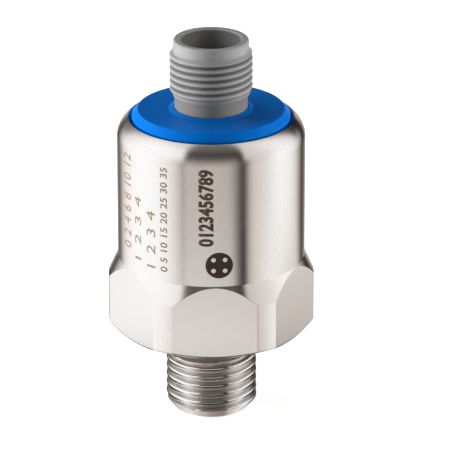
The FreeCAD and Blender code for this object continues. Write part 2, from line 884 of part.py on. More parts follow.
def check_document():
    """Stops if any object of the document failed to compute."""
    for item in doc.Objects:
        if "Invalid" in item.State or "Error" in item.State:
            raise RuntimeError(f"{item.Label} failed: {item.State}")


def check_piece(body):
    """Stops unless the piece is one valid solid."""
    shape = body.Shape
    if shape.isNull() or not shape.isValid() or len(shape.Solids) != 1:
        raise RuntimeError(f"{body.Label} is not one valid solid")


def main():
    make_sheet()
    pieces = [
        make_housing(),
        make_cell_seal(),
        make_ceramic_cell(),
        make_retaining_ring(),
        make_spacer_sleeve(),
        make_cover_ring(),
        make_connector_shell(),
        make_connector_seal(),
        make_contact_carrier(),
        make_connector_board(),
        make_main_board(),
        make_board_header(),
        make_board_socket(),
    ]
    pieces += [make_contact_pin(number) for number in range(CONTACTS)]
    pieces += [make_sensor_pin(number) for number in range(SENSOR_PINS)]
    pieces += [make_link_pin(number) for number in range(LINK_PINS)]
    pieces += make_components()
    doc.recompute()
    check_document()
    for body in pieces:
        check_piece(body)
    os.makedirs("parts", exist_ok=True)
    for body in pieces:
        body.Shape.exportStep(f"parts/{body.Label}.step")
        box = body.Shape.BoundBox
        print(f"{body.Label}: {body.Shape.Volume:.1f} mm3, z {box.ZMin:.2f} to {box.ZMax:.2f}")


main()
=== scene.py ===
import math

import bmesh
import bpy
import numpy as np
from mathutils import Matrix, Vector


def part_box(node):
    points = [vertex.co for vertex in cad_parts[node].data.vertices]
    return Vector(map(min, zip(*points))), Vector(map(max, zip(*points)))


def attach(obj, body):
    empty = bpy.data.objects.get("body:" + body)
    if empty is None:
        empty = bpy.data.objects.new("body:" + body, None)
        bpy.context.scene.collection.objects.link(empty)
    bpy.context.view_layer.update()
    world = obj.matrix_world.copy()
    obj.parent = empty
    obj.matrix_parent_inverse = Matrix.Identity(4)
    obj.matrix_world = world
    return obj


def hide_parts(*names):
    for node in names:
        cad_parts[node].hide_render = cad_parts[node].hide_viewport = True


# Looks of a pressure transmitter: a bright turned steel housing with a hexagon and a pipe thread, a
# blue cover ring held by the rolled lip, and a grey moulded M12 connector.
#
# Lengths are written in millimetres and put into meshes in metres. Angles round the axis are
# measured from -Y towards +X, so that a flat of the hexagon stands at 0.

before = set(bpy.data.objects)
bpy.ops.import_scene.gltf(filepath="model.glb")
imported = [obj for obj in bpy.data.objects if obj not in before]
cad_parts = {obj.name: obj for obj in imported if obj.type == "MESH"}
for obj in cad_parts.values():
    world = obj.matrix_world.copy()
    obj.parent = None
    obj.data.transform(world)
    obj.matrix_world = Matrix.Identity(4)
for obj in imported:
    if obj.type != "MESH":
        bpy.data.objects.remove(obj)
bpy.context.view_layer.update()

MM = 0.001
TURN = 2 * math.pi

# Sizes -----------------------------------------------------------------------------------------------
#
# Names that end in bottom, top, floor, seat or middle are heights, and the rest are radii unless a
# comment says otherwise.

# Outside of the housing. HALF_FLATS is half the width over flats, and SHOULDER the height of the
# centre of the lip's arcs, which lies SHOULDER_CENTRE from the axis. The lower chamfer is a height.
HALF_FLATS = 13.5
CORNER = 14.78
SEAT = 12.0
SEAT_RADIUS = 11.8
LOWER_CHAMFER = 1.5
HEX_TOP = 20.75
DRUM = 13.4
DRUM_BOTTOM = 23.73
SHOULDER = 41.5
SHOULDER_CENTRE = 9.9
SHOULDER_RADIUS = 3.5
LIP_INNER_RADIUS = 2.7
LIP = 11.77

# Process stud: its chamfers are heights.
STUD = 6.53
STUD_TIP = 5.4
STUD_TIP_CHAMFER = 1.4
STUD_PLAIN_TOP = 8.6
RELIEF = 5.45
RELIEF_BOTTOM = 9.4
PORT = 2.0
PORT_CHAMFER = 0.3

# Its pipe thread: pitch, height of a crest in front, half the angle between flanks, and roundings.
PIPE_PITCH = 1.337
PIPE_CREST = 2.572
PIPE_HALF_ANGLE = 27.5
PIPE_CREST_ROUNDING = 0.42
PIPE_ROOT_ROUNDING = 0.1
PIPE_BOTTOM = 0.25
PIPE_TOP = RELIEF_BOTTOM - 0.03

# Inside of the housing, from the cell's seat upwards.
SEAL_INNER = 5.25
SEAL_OUTER = 7.95
SEAL_FLOOR = 13.4
CELL_BORE = 9.1
CELL_SEAT = 15.0
RING_BORE = 10.0
RING_SEAT = 21.0
SLEEVE_BORE = 12.0
SLEEVE_SEAT = 24.6
BORE_MIDDLE = 30.0
FLANGE_BORE = 12.6
FLANGE_SEAT = 37.5

# Connector: flange with its seal's groove, boss, neck, rim, and a socket with its coding key. The
# key's face lies KEY_FACE from the axis, and the rim's chamfer and the key's edge are lengths.
FLANGE = 12.48
FLANGE_TOP = 41.0
GROOVE = 11.28
GROOVE_BOTTOM = 38.3
GROOVE_TOP = 40.2
BACK_BORE = 9.3
BACK_FLOOR = 39.0
INSERT_BORE = 6.55
BOSS = 8.5
BOSS_TOP = 43.6
NECK = 5.2
LEAD = 5.375
RIM_TOP = 56.0
RIM_CHAMFER = 0.2
SOCKET = 4.25
SOCKET_FLOOR = 46.5
KEY_FACE = 3.65
KEY_HALF_WIDTH = 0.45
KEY_TOP = 55.0
KEY_EDGE = 0.05

# Its metric thread: pitch and height of a crest in front. It starts METRIC_START turns from there,
# has its full height METRIC_GROWTH turns later, and rises out of the neck with slope METRIC_RUN_IN.
METRIC_PITCH = 1.0
METRIC_CREST = 48.96
METRIC_CREST_RADIUS = 5.91
METRIC_ROOT_RADIUS = 5.38
METRIC_BOTTOM = 47.4
METRIC_PLAIN_TOP = 54.0
METRIC_TOP = 54.5
METRIC_START = -1.3
METRIC_GROWTH = 1.05
METRIC_RUN_IN = 0.5

# Cover ring: side, flat and collar, with a bevel from the side to the flat. It clears the lip by
# COVER_CLEARANCE.
COVER_CLEARANCE = 0.05
COVER_SIDE = 11.26
COVER_FLAT = 10.45
COVER_TOP = 45.65
BEVEL_BOTTOM = 44.72
COVER_RECESS = 8.58
COVER_RECESS_TOP = 43.68
COLLAR = 5.28
COLLAR_FOOT = 6.05
COLLAR_MIDDLE = 44.8
COLLAR_TOP = 46.0

# Contact pins: the tail below the step is thinner.
PIN = 0.5
PIN_TAIL = 0.3
PIN_BOTTOM = 37.1
PIN_STEP_BOTTOM = 40.0
PIN_TOP = 53.0

# Shapes from outlines --------------------------------------------------------------------------------

WELD = 1e-7
SHARP_EDGE = math.radians(42)
ROUNDING_STEPS = 3
ROUND_COLUMNS = 240
CONNECTOR_COLUMNS = 192
PIN_COLUMNS = 32


def columns(count, extra=()):
    """Angles of a grid's columns, even round one turn, with extra ones. The last repeats the first."""
    even = np.arange(count) * (TURN / count)
    angles = np.concatenate([even, np.mod(np.asarray(extra, float), TURN)])
    return np.concatenate([np.unique(np.round(angles, 9)), [TURN]])


def row(radius, height, around):
    """One row of an outline: (radius, height) for each column."""
    pair = [np.broadcast_to(radius, around.shape), np.broadcast_to(height, around.shape)]
    return np.stack(pair).astype(float)


def outline_rows(corners, around):
    """Rows along an open outline of (radius, height, rounding) corners, each constant or given per
    column. A corner with a rounding is replaced by the parabola (1-t)^2 A + 2t(1-t) B + t^2 C, where
    B is the corner and A and C lie before and after it at rounding * tan(turn / 2), with one more
    point just before A and one just after C."""
    points = [row(radius, height, around) for radius, height, _ in corners]
    rows = []
    for number, (_, _, rounding) in enumerate(corners):
        here = points[number]
        if rounding == 0:
            rows.append(here)
            continue
        to_before = points[number - 1] - here
        to_after = points[number + 1] - here
        far_before = np.maximum(np.linalg.norm(to_before, axis=0), 1e-9)
        far_after = np.maximum(np.linalg.norm(to_after, axis=0), 1e-9)
        to_before, to_after = to_before / far_before, to_after / far_after
        turn = math.pi - np.arccos(np.clip((to_before * to_after).sum(axis=0), -1, 1))
        room = np.minimum(far_before, far_after)
        reach = np.minimum(rounding * np.tan(turn / 2), room * 0.35)
        beyond = reach + np.minimum(0.05, room * 0.1)
        start, end = here + to_before * reach, here + to_after * reach
        steps = np.linspace(0, 1, ROUNDING_STEPS + 1)
        rows.append(here + to_before * beyond)
        rows += [(1 - t) ** 2 * start + 2 * t * (1 - t) * here + t**2 * end for t in steps]
        rows.append(here + to_after * beyond)
    return rows


def arc_corners(centre, centre_height, radius, start, end, steps):
    """Plain corners (centre + radius cos t, centre height + radius sin t) for t from start to end."""
    angles = np.linspace(start, end, steps + 1)
    return [(centre + radius * math.cos(t), centre_height + radius * math.sin(t), 0) for t in angles]


def thread_rows(around, pitch, crest, section, low, high, envelope, fade=None):
    """Rows that climb one pitch per turn: height = clip(crest + pitch * (turn + angle / 2 pi) +
    offset, low, high), and radius = the smaller of the section's at that offset from the crest and
    the envelope's at that height. The section is offsets, their radii, and the root's radius.
    fade(turns along the helix) is the share of the section's height over the root."""
    first = math.floor((low - crest) / pitch) - 2
    last = math.ceil((high - crest) / pitch) + 1
    offsets, radii, root = section
    rows = []
    for turn in range(first, last + 1):
        turns = turn + around / TURN
        share = fade(turns) if fade else 1.0
        for offset, radius in zip(offsets, radii):
            height = np.clip(crest + pitch * turns + offset, low, high)
            climb = root + (radius - root) * share
            rows.append(np.stack([np.minimum(climb, envelope(height)), height]))
    return rows


def surface(rows, around):
    """Grid of points: x = r sin a, y = -r cos a, z = height, in metres."""
    grid = np.stack(rows)
    radius, height = grid[:, 0], grid[:, 1]
    return np.stack([radius * np.sin(around), -radius * np.cos(around), height], axis=-1) * MM


def all_differ(faces):
    """Whether the corners of each face are all different points."""
    return (np.diff(np.sort(faces, axis=1), axis=1) > 0).all(axis=1)


def closed_mesh(name, grid):
    """A mesh over a grid whose rows run round the axis and whose last row joins the first. Points at
    one place are merged, faces that shrink to nothing are dropped, and the faces are turned outwards
    by the sign of the volume."""
    points = grid.reshape(-1, 3)
    keys = np.floor(points / WELD + 0.37).astype(np.int64)
    _, first, where = np.unique(keys, axis=0, return_index=True, return_inverse=True)
    points = points[first]
    number = where.reshape(grid.shape[:2])
    after = np.roll(number, -1, axis=0)
    quads = np.stack([number[:, :-1], number[:, 1:], after[:, 1:], after[:, :-1]], axis=-1)
    quads = quads.reshape(-1, 4)
    whole = all_differ(quads)
    thin = quads[~whole]
    quads = quads[whole]
    halves = np.concatenate([thin[:, [0, 1, 2]], thin[:, [0, 2, 3]]])
    halves = halves[all_differ(halves)]
    triangles = np.concatenate([quads[:, [0, 1, 2]], quads[:, [0, 2, 3]], halves])
    corner = points[triangles]
    volume = np.einsum("ij,ij->i", corner[:, 0], np.cross(corner[:, 1], corner[:, 2])).sum()
    if volume < 0:
        quads, halves = quads[:, ::-1], halves[:, ::-1]
    mesh = bpy.data.meshes.new(name)
    mesh.from_pydata(points.tolist(), [], quads.tolist() + halves.tolist())
    mesh.polygons.foreach_set("use_smooth", np.ones(len(mesh.polygons), bool))
    mesh.set_sharp_from_angle(angle=SHARP_EDGE)
    mesh.update()
    return mesh


def add_piece(name, mesh, material, stands_for=()):
    """A new piece of the part, and the CAD nodes that it stands for."""
    piece = bpy.data.objects.new(name, mesh)
    bpy.context.scene.collection.objects.link(piece)
    mesh.materials.clear()
    mesh.materials.append(material)
    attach(piece, "root")
    if stands_for:
        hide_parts(*stands_for)
    return piece


# Node trees ------------------------------------------------------------------------------------------


class Tree:
    """The nodes of a material, a world or a group, with short ways to add and join them. A value is
    a number, a colour of three parts, or another node's output."""

    def __init__(self, node_tree):
        self.nodes = node_tree.nodes
        self.links = node_tree.links

    def add(self, kind, **settings):
        """A new node with its settings."""
        node = self.nodes.new(kind)
        for name, value in settings.items():
            setattr(node, name, value)
        return node

    def feed(self, socket, value):
        """Gives an input its value."""
        if isinstance(value, bpy.types.NodeSocket):
            self.links.new(value, socket)
        elif isinstance(value, tuple):
            socket.default_value = (*value, 1)
        else:
            socket.default_value = value

    def work_out(self, operation, *values):
        """The result of a Math node."""
        node = self.add("ShaderNodeMath", operation=operation)
        for number, value in enumerate(values):
            self.feed(node.inputs[number], value)
        return node.outputs[0]

    def plus(self, first, second):
        return self.work_out("ADD", first, second)

    def minus(self, first, second):
        return self.work_out("SUBTRACT", first, second)

    def times(self, first, *others):
        for other in others:
            first = self.work_out("MULTIPLY", first, other)
        return first

    def ramp(self, value, start, end, low=0.0, high=1.0, kind="SMOOTHSTEP"):
        """Low at start and high at end, level beyond them, and a smooth step between, or a straight
        line if kind is LINEAR."""
        node = self.add("ShaderNodeMapRange", interpolation_type=kind)
        limits = {"From Min": start, "From Max": end, "To Min": low, "To Max": high}
        for name, limit in limits.items():
            self.feed(node.inputs[name], limit)
        self.feed(node.inputs["Value"], value)
        return node.outputs["Result"]

    def between(self, value, start, end, soft):
        """1 between start and end, with edges that are soft wide."""
        rise = self.ramp(value, start - soft / 2, start + soft / 2)
        fall = self.ramp(value, end - soft / 2, end + soft / 2, 1, 0)
        return self.times(rise, fall)

    def blend(self, factor, first, second):
        """The first colour where the factor is 0, and the second where it is 1."""
        node = self.add("ShaderNodeMix", data_type="RGBA")
        for name, value in {"Factor": factor, "A": first, "B": second}.items():
            self.feed(node.inputs[name], value)
        return node.outputs["Result"]

    def blend_shaders(self, factor, first, second):
        """The first shader where the factor is 0, and the second where it is 1."""
        node = self.add("ShaderNodeMixShader")
        for number, value in enumerate((factor, first, second)):
            self.feed(node.inputs[number], value)
        return node.outputs[0]

    def light(self, kind, colour, strength=1.0):
        """An Emission or a Background shader."""
        node = self.add(kind)
        self.feed(node.inputs["Color"], colour)
        self.feed(node.inputs["Strength"], strength)
        return node.outputs[0]

    def place(self):
        """Object coordinates."""
        return self.add("ShaderNodeTexCoord").outputs["Object"]

    def split(self, vector):
        """The three parts of a vector."""
        node = self.add("ShaderNodeSeparateXYZ")
        self.feed(node.inputs[0], vector)
        return node.outputs

    def angle_around(self, sideways, back):
        """Angle round the axis in degrees, from -Y towards +X."""
        angle = self.work_out("ARCTAN2", sideways, self.times(back, -1))
        return self.work_out("DEGREES", angle)

    def distance_and_height(self):
        """Distance from the axis and height, in millimetres, from Object coordinates."""
        across, deep, up = self.split(self.place())
        squares = self.plus(self.times(across, across), self.times(deep, deep))
        return self.times(self.work_out("SQRT", squares), 1 / MM), self.times(up, 1 / MM)

    def grain(self, scale, low=0.0, high=1.0, along=1.0):
        """The grain group with its own values."""
        node = self.add("ShaderNodeGroup", node_tree=GRAIN)
        for name, value in {"Scale": scale, "Along": along, "Low": low, "High": high}.items():
            self.feed(node.inputs[name], value)
        return node.outputs["Value"]

    def two_tones(self, dark, light, scale, along=1.0):
        """A colour between two tones, by grain."""
        return self.blend(self.grain(scale, along=along), dark, light)


def make_grain_group():
    """Grain: noise on Object coordinates whose height is multiplied by Along, so that a small value
    draws the grain out up and down, carried into the range from Low to High."""
    group = bpy.data.node_groups.new("grain", "ShaderNodeTree")
    new_socket = group.interface.new_socket
    for name, value in (("Scale", 400.0), ("Along", 1.0), ("Low", 0.0), ("High", 1.0)):
        socket = new_socket(name=name, in_out="INPUT", socket_type="NodeSocketFloat")
        socket.default_value = value
    new_socket(name="Value", in_out="OUTPUT", socket_type="NodeSocketFloat")
    tree = Tree(group)
    given = tree.add("NodeGroupInput").outputs
    across, deep, up = tree.split(tree.place())
    stretched = tree.add("ShaderNodeCombineXYZ")
    for name, value in {"X": across, "Y": deep, "Z": tree.times(up, given["Along"])}.items():
        tree.feed(stretched.inputs[name], value)
    noise = tree.add("ShaderNodeTexNoise")
    for name, value in {"Vector": stretched.outputs[0], "Scale": given["Scale"], "Detail": 3}.items():
        tree.feed(noise.inputs[name], value)
    spread = tree.ramp(noise.outputs["Fac"], 0.3, 0.7, given["Low"], given["High"], "LINEAR")
    tree.feed(tree.add("NodeGroupOutput").inputs["Value"], spread)
    return group


GRAIN = make_grain_group()

# Materials -------------------------------------------------------------------------------------------


def new_material(name, colour, metallic, roughness):
    """A Principled material; returns it with its tree and its shader's inputs."""
    material = bpy.data.materials.new(name)
    material.use_nodes = True
    tree = Tree(material.node_tree)
    shader = tree.nodes["Principled BSDF"].inputs
    tree.feed(shader["Base Color"], colour)
    tree.feed(shader["Metallic"], metallic)
    tree.feed(shader["Roughness"], roughness)
    return material, tree, shader


def add_bump(tree, shader, height, depth):
    """Relief: depth, in millimetres, is how far the surface rises as the height goes from 0 to 1."""
    bump = tree.add("ShaderNodeBump")
    tree.feed(bump.inputs["Distance"], depth * MM)
    tree.feed(bump.inputs["Height"], height)
    tree.feed(shader["Normal"], bump.outputs["Normal"])


def make_turned_steel():
    """Bright turned stainless steel: reflections smear up and down, across the fine turning lines."""
    material, tree, shader = new_material("bright_turned_steel", (0.9, 0.89, 0.88), 1, 0.22)
    tree.feed(shader["Anisotropic"], 1.0)
    tree.feed(shader["Anisotropic Rotation"], 0.25)
    tangent = tree.add("ShaderNodeTangent", direction_type="RADIAL", axis="Z")
    tree.feed(shader["Tangent"], tangent.outputs[0])
    colour = tree.two_tones((0.865, 0.855, 0.845), (0.935, 0.925, 0.915), 7000, 0.2)
    tree.feed(shader["Base Color"], colour)
    tree.feed(shader["Roughness"], tree.grain(3000, 0.2, 0.24))
    add_bump(tree, shader, tree.grain(2800, along=0.05), 0.00035)
    return material


def make_thread_steel():
    """The steel of the stud's thread, a little browner: bright on the turned crests and dull on the
    cut flanks, by the distance from the axis."""
    material, tree, shader = new_material("cut_thread_steel", (0.88, 0.865, 0.845), 1, 0.3)
    tree.feed(shader["Base Color"], tree.two_tones((0.86, 0.84, 0.82), (0.9, 0.885, 0.87), 2500))
    distance, _ = tree.distance_and_height()
    dull = tree.ramp(distance, STUD - 0.17, STUD - 0.07, 0.2, 0.0)
    tree.feed(shader["Roughness"], tree.plus(dull, tree.grain(2500, 0.1, 0.14)))
    return material


def make_seat_steel():
    """The sealing face, faced with a coarse feed: dull, and its colour darkened as painted shade."""
    material, tree, shader = new_material("shaded_faced_seat_steel", (0.42, 0.39, 0.36), 1, 0.6)
    tree.feed(shader["Base Color"], tree.two_tones((0.4, 0.37, 0.34), (0.46, 0.43, 0.4), 2500))
    tree.feed(shader["Roughness"], tree.grain(2500, 0.55, 0.65))
    return material


def make_milled_steel():
    """The same steel where the flats are milled: an even, silky face."""
    material, tree, shader = new_material("milled_flat_steel", (0.9, 0.89, 0.88), 1, 0.36)
    colour = tree.two_tones((0.885, 0.866, 0.85), (0.905, 0.886, 0.87), 3000)
    tree.feed(shader["Base Color"], colour)
    tree.feed(shader["Roughness"], tree.grain(3000, 0.34, 0.38))
    return material


def make_plain(
    name, dark, light, roughness, scale=900, metallic=0.0, specular=0.5, relief=0.0, shade=None
):
    """A moulded, pressed or rubber surface: two close tones and a slightly uneven gloss, both by
    grain. shade(tree, colour) may paint shade or highlights into the colour at some places."""
    material, tree, shader = new_material(name, light, metallic, roughness)
    colour = tree.two_tones(dark, light, scale)
    if shade:
        colour = shade(tree, colour)
    tree.feed(shader["Base Color"], colour)
    tree.feed(shader["Roughness"], tree.grain(scale, roughness * 0.9, roughness * 1.1))
    tree.feed(shader["Specular IOR Level"], specular)
    if relief:
        add_bump(tree, shader, tree.grain(scale), relief)
    return material


def make_mark(name, dark, light):
    """A laser mark on the steel."""
    return make_plain(name, dark, light, 0.42, metallic=0.3)


def paint_connector_highlight_and_shade(tree, colour):
    """Lightens the crests of the connector's thread as a painted highlight and darkens its roots as
    painted shade, by the distance from the axis, and darkens the thread's run-out and the neck below
    it as painted shade, by the height."""
    distance, height = tree.distance_and_height()
    on_thread = tree.between(height, METRIC_BOTTOM + 0.9, METRIC_TOP - 0.4, 0.4)
    crest = tree.ramp(distance, METRIC_CREST_RADIUS - 0.11, METRIC_CREST_RADIUS - 0.01)
    root = tree.ramp(distance, METRIC_CREST_RADIUS + 0.04, METRIC_ROOT_RADIUS + 0.04)
    outside = tree.ramp(distance, NECK - 0.2, NECK - 0.1, 0, 0.75)
    run_out_shade = tree.ramp(height, METRIC_BOTTOM + 1.8, METRIC_BOTTOM + 0.8)
    neck = tree.ramp(height, METRIC_BOTTOM + 0.7, METRIC_BOTTOM - 0.3)
    # Painted highlight on the crests of the thread.
    colour = tree.blend(tree.times(crest, on_thread), colour, (0.235, 0.233, 0.23))
    # Painted shade in the roots of the thread, kept off the socket's bore.
    colour = tree.blend(tree.times(root, outside, on_thread), colour, (0.062, 0.06, 0.058))
    # Painted shade on the thread's run-out.
    colour = tree.blend(run_out_shade, colour, (0.17, 0.164, 0.155))
    # Painted shade on the neck.
    return tree.blend(neck, colour, (0.155, 0.145, 0.128))


def shade_cover(tree, colour):
    """Darkens the cover's shoulder in the gap under the lip, outside its own side, as painted shade.
    """
    distance, _ = tree.distance_and_height()
    under_lip_shade = tree.ramp(distance, COVER_SIDE + 0.02, COVER_SIDE + 0.12)
    # Painted shade in the gap under the lip.
    return tree.blend(under_lip_shade, colour, (0.004, 0.008, 0.02))


STEEL = make_turned_steel()
THREAD = make_thread_steel()
SHADED_SEAT = make_seat_steel()
MILLED = make_milled_steel()
# The cover's colour carries painted shade on its shoulder under the lip.
BLUE = make_plain(
    "blue_moulded_cover",
    (0.0, 0.095, 0.38),
    (0.0, 0.11, 0.42),
    0.4,
    scale=2200,
    specular=0.06,
    relief=0.002,
    shade=shade_cover,
)
# The connector's colour carries painted highlights on the thread's crests and painted shade in its
# roots and on its neck.
GREY = make_plain(
    "grey_moulded_connector",
    (0.215, 0.215, 0.215),
    (0.24, 0.24, 0.24),
    0.38,
    scale=2200,
    relief=0.002,
    shade=paint_connector_highlight_and_shade,
)
BLACK = make_plain("black_moulded_insert", (0.018, 0.018, 0.018), (0.026, 0.026, 0.026), 0.5)
NATURAL = make_plain("natural_plastic_sleeve", (0.62, 0.6, 0.53), (0.68, 0.66, 0.59), 0.45)
GILT = make_plain("gilt_contact_metal", (0.78, 0.52, 0.2), (0.85, 0.58, 0.25), 0.22, metallic=1.0)
BRASS = make_plain("turned_ring_brass", (0.6, 0.43, 0.2), (0.68, 0.49, 0.24), 0.3, metallic=1.0)
RUBBER = make_plain("green_seal_rubber", (0.012, 0.03, 0.02), (0.02, 0.045, 0.03), 0.6)
CERAMIC = make_plain("white_cell_ceramic", (0.74, 0.73, 0.7), (0.8, 0.79, 0.76), 0.5)
LAMINATE = make_plain("green_board_laminate", (0.01, 0.09, 0.035), (0.015, 0.12, 0.05), 0.35)
CHIP = make_plain("black_chip_moulding", (0.012, 0.012, 0.013), (0.02, 0.02, 0.021), 0.45)
CAPACITOR = make_plain("ochre_capacitor_moulding", (0.45, 0.26, 0.05), (0.52, 0.31, 0.07), 0.45)
MARK = make_mark("brown_laser_mark", (0.07, 0.037, 0.022), (0.095, 0.052, 0.032))
DEEP_MARK = make_mark("dark_brown_laser_mark", (0.028, 0.015, 0.01), (0.042, 0.024, 0.016))
# A paler copy of the brown mark, with painted light, for the figures on the brightly lit left of the
# drum.
LIT_SIDE_MARK = make_mark("lit_side_brown_laser_mark", (0.22, 0.135, 0.08), (0.28, 0.18, 0.11))

# Finishes of the CAD nodes that show as they are, by name, or by name without its number.
NODE_FINISHES = {
    "cell_seal": RUBBER,
    "connector_seal": RUBBER,
    "ceramic_cell": CERAMIC,
    "retaining_ring": BRASS,
    "spacer_sleeve": NATURAL,
    "contact_carrier": BLACK,
    "connector_board": LAMINATE,
    "main_board": LAMINATE,
    "board_header": BLACK,
    "board_socket": BLACK,
    "signal_chip": CHIP,
    "driver_chip": CHIP,
    "surge_diode": CHIP,
    "filter_capacitor": CAPACITOR,
    "chip_resistor": CHIP,
    "contact_pin": GILT,
    "sensor_pin": GILT,
    "link_pin": GILT,
}

# Housing ---------------------------------------------------------------------------------------------


def pipe_section():
    """Rolled 55 degree section over one pitch: crest and root are arcs, joined by flanks that lean
    half that angle. Offsets along the axis from the crest run from minus to plus half a pitch."""
    lean = math.radians(90 - PIPE_HALF_ANGLE)
    arc = np.linspace(0, lean, 4)
    crest_along = PIPE_CREST_ROUNDING * np.sin(arc)
    crest_drop = PIPE_CREST_ROUNDING * (1 - np.cos(arc))
    root_along = PIPE_ROOT_ROUNDING * np.sin(arc)
    root_rise = PIPE_ROOT_ROUNDING * (1 - np.cos(arc))
    half = PIPE_PITCH / 2
    flank = half - crest_along[-1] - root_along[-1]
    fall = flank * math.tan(lean)
    depth = crest_drop[-1] + fall + root_rise[-1]
    middle_along = [crest_along[-1] + flank / 2]
    middle_drop = [crest_drop[-1] + fall / 2]
    offsets = np.concatenate([crest_along, middle_along, half - root_along[::-1]])
    drops = np.concatenate([crest_drop, middle_drop, depth - root_rise[::-1]])
    offsets = np.concatenate([-offsets[::-1], offsets[1:-1]])
    drops = np.concatenate([drops[::-1], drops[1:-1]])
    return offsets, STUD - drops, STUD - depth


def stud_envelope(height):
    """Largest radius of the stud: its tip's chamfer below, and the slope to the relief above."""
    tip = STUD_TIP + (STUD - STUD_TIP) * height / STUD_TIP_CHAMFER
    slope = (STUD - RELIEF) / (RELIEF_BOTTOM - STUD_PLAIN_TOP)
    return np.minimum(tip, STUD - slope * (height - STUD_PLAIN_TOP))


def side_of_hexagon(around):
    """Radius of the hexagon's side: half the flats over the cosine of the angle from the nearest
    flat, but no more than the turned corner."""
    from_flat = np.mod(around + TURN / 12, TURN / 6) - TURN / 12
    return np.minimum(HALF_FLATS / np.cos(from_flat), CORNER)


def housing_columns():
    """Even columns, and three close ones at each edge between a flat and a turned corner."""
    edge = math.acos(HALF_FLATS / CORNER)
    beside = math.radians(0.35)
    edges = [flat + side * edge for flat in np.arange(6) * TURN / 6 for side in (-1, 1)]
    return columns(ROUND_COLUMNS, [place + step for place in edges for step in (-beside, 0, beside)])


def housing_grid():
    """The outline carried round the axis: from the bore's wall over the lip, down the outside, along
    the thread, and back up the bore."""
    around = housing_columns()
    side = side_of_hexagon(around)
    cone_height = HEX_TOP + (CORNER - side) * (DRUM_BOTTOM - HEX_TOP) / (CORNER - DRUM)
    chamfer_height = SEAT + (side - SEAT_RADIUS) * LOWER_CHAMFER / (CORNER - SEAT_RADIUS)
    lip_angle = math.acos((LIP - SHOULDER_CENTRE) / SHOULDER_RADIUS)
    inner_lip = arc_corners(SHOULDER_CENTRE, SHOULDER, LIP_INNER_RADIUS, 0, lip_angle, 8)
    outer_lip = arc_corners(SHOULDER_CENTRE, SHOULDER, SHOULDER_RADIUS, lip_angle, 0, 20)
    upper = [
        (SLEEVE_BORE, BORE_MIDDLE, 0),
        (SLEEVE_BORE, FLANGE_SEAT, 0),
        (FLANGE_BORE, FLANGE_SEAT, 0),
        *inner_lip[:-1],
        (*inner_lip[-1][:2], 0.05),
        (*outer_lip[0][:2], 0.08),
        *outer_lip[1:],
        (DRUM, DRUM_BOTTOM, 0.15),
        (side, cone_height, 0.12),
        (side, chamfer_height, 0.32),
        (SEAT_RADIUS, SEAT, 0.1),
        (RELIEF, SEAT, 0.25),
        (RELIEF, RELIEF_BOTTOM, 0),
    ]
    thread = thread_rows(
        around, PIPE_PITCH, PIPE_CREST, pipe_section(), PIPE_BOTTOM, PIPE_TOP, stud_envelope
    )
    lower = [
        (stud_envelope(PIPE_BOTTOM), PIPE_BOTTOM, 0),
        (STUD_TIP, 0.0, 0.12),
        (PORT + PORT_CHAMFER, 0.0, 0.06),
        (PORT, PORT_CHAMFER, 0.06),
        (PORT, CELL_SEAT, 0.06),
        (SEAL_INNER, CELL_SEAT, 0),
        (SEAL_INNER, SEAL_FLOOR, 0),
        (SEAL_OUTER, SEAL_FLOOR, 0),
        (SEAL_OUTER, CELL_SEAT, 0),
        (CELL_BORE, CELL_SEAT, 0),
        (CELL_BORE, RING_SEAT, 0),
        (RING_BORE, RING_SEAT, 0),
        (RING_BORE, SLEEVE_SEAT, 0),
        (SLEEVE_BORE, SLEEVE_SEAT, 0),
    ]
    rows = outline_rows(upper, around) + thread[::-1] + outline_rows(lower, around)
    return surface(rows, around)


def finish_faces(piece):
    """Gives the faces in the six flats the milled finish: those whose middle reaches HALF_FLATS along
    the direction of a flat. The stud below the sealing face gets the cut finish, and the sealing face
    the faced one, darkened with painted shade."""
    mesh = piece.data
    for finish in (MILLED, THREAD, SHADED_SEAT):
        mesh.materials.append(finish)
    middles = np.empty(len(mesh.polygons) * 3)
    mesh.polygons.foreach_get("center", middles)
    across, deep, height = middles.reshape(-1, 3).T / MM
    facing = np.arange(6)[:, None] * TURN / 6
    reach = across * np.sin(facing) - deep * np.cos(facing)
    distance = np.hypot(across, deep)
    in_flat = (np.abs(reach - HALF_FLATS) < 0.002).any(axis=0)
    on_stud = (height < SEAT - 0.1) & (distance < STUD + 0.1)
    on_seat = (np.abs(height - SEAT) < 0.1) & (distance > RELIEF)
    finish = in_flat + 2 * on_stud + 3 * on_seat
    mesh.polygons.foreach_set("material_index", finish.astype(np.int32))


housing_mesh = closed_mesh("turned_housing", housing_grid())
housing = add_piece("turned_housing", housing_mesh, STEEL, ["housing"])
finish_faces(housing)

# Connector -------------------------------------------------------------------------------------------


def metric_section():
    """Moulded 60 degree section over one pitch, with a broad rounded crest: drop from the crest
    against offset along the axis."""
    offsets = np.array([0, 0.06, 0.12, 0.18, 0.24, 0.34, 0.43, 0.47])
    drops = np.array([0, 0.007, 0.027, 0.066, 0.136, 0.31, 0.46, 0.52])
    offsets = np.concatenate([-offsets[::-1], offsets[1:], [METRIC_PITCH / 2]])
    depth = METRIC_CREST_RADIUS - METRIC_ROOT_RADIUS
    drops = np.concatenate([drops[::-1], drops[1:], [depth]])
    return offsets, METRIC_CREST_RADIUS - drops, METRIC_ROOT_RADIUS


def metric_envelope(height):
    """Largest radius of the thread: it grows out of the neck below and ends in the lead above."""
    run_in = NECK + (height - METRIC_BOTTOM) * METRIC_RUN_IN
    slope = (METRIC_CREST_RADIUS - LEAD) / (METRIC_TOP - METRIC_PLAIN_TOP)
    return np.minimum(run_in, METRIC_CREST_RADIUS - slope * (height - METRIC_PLAIN_TOP))


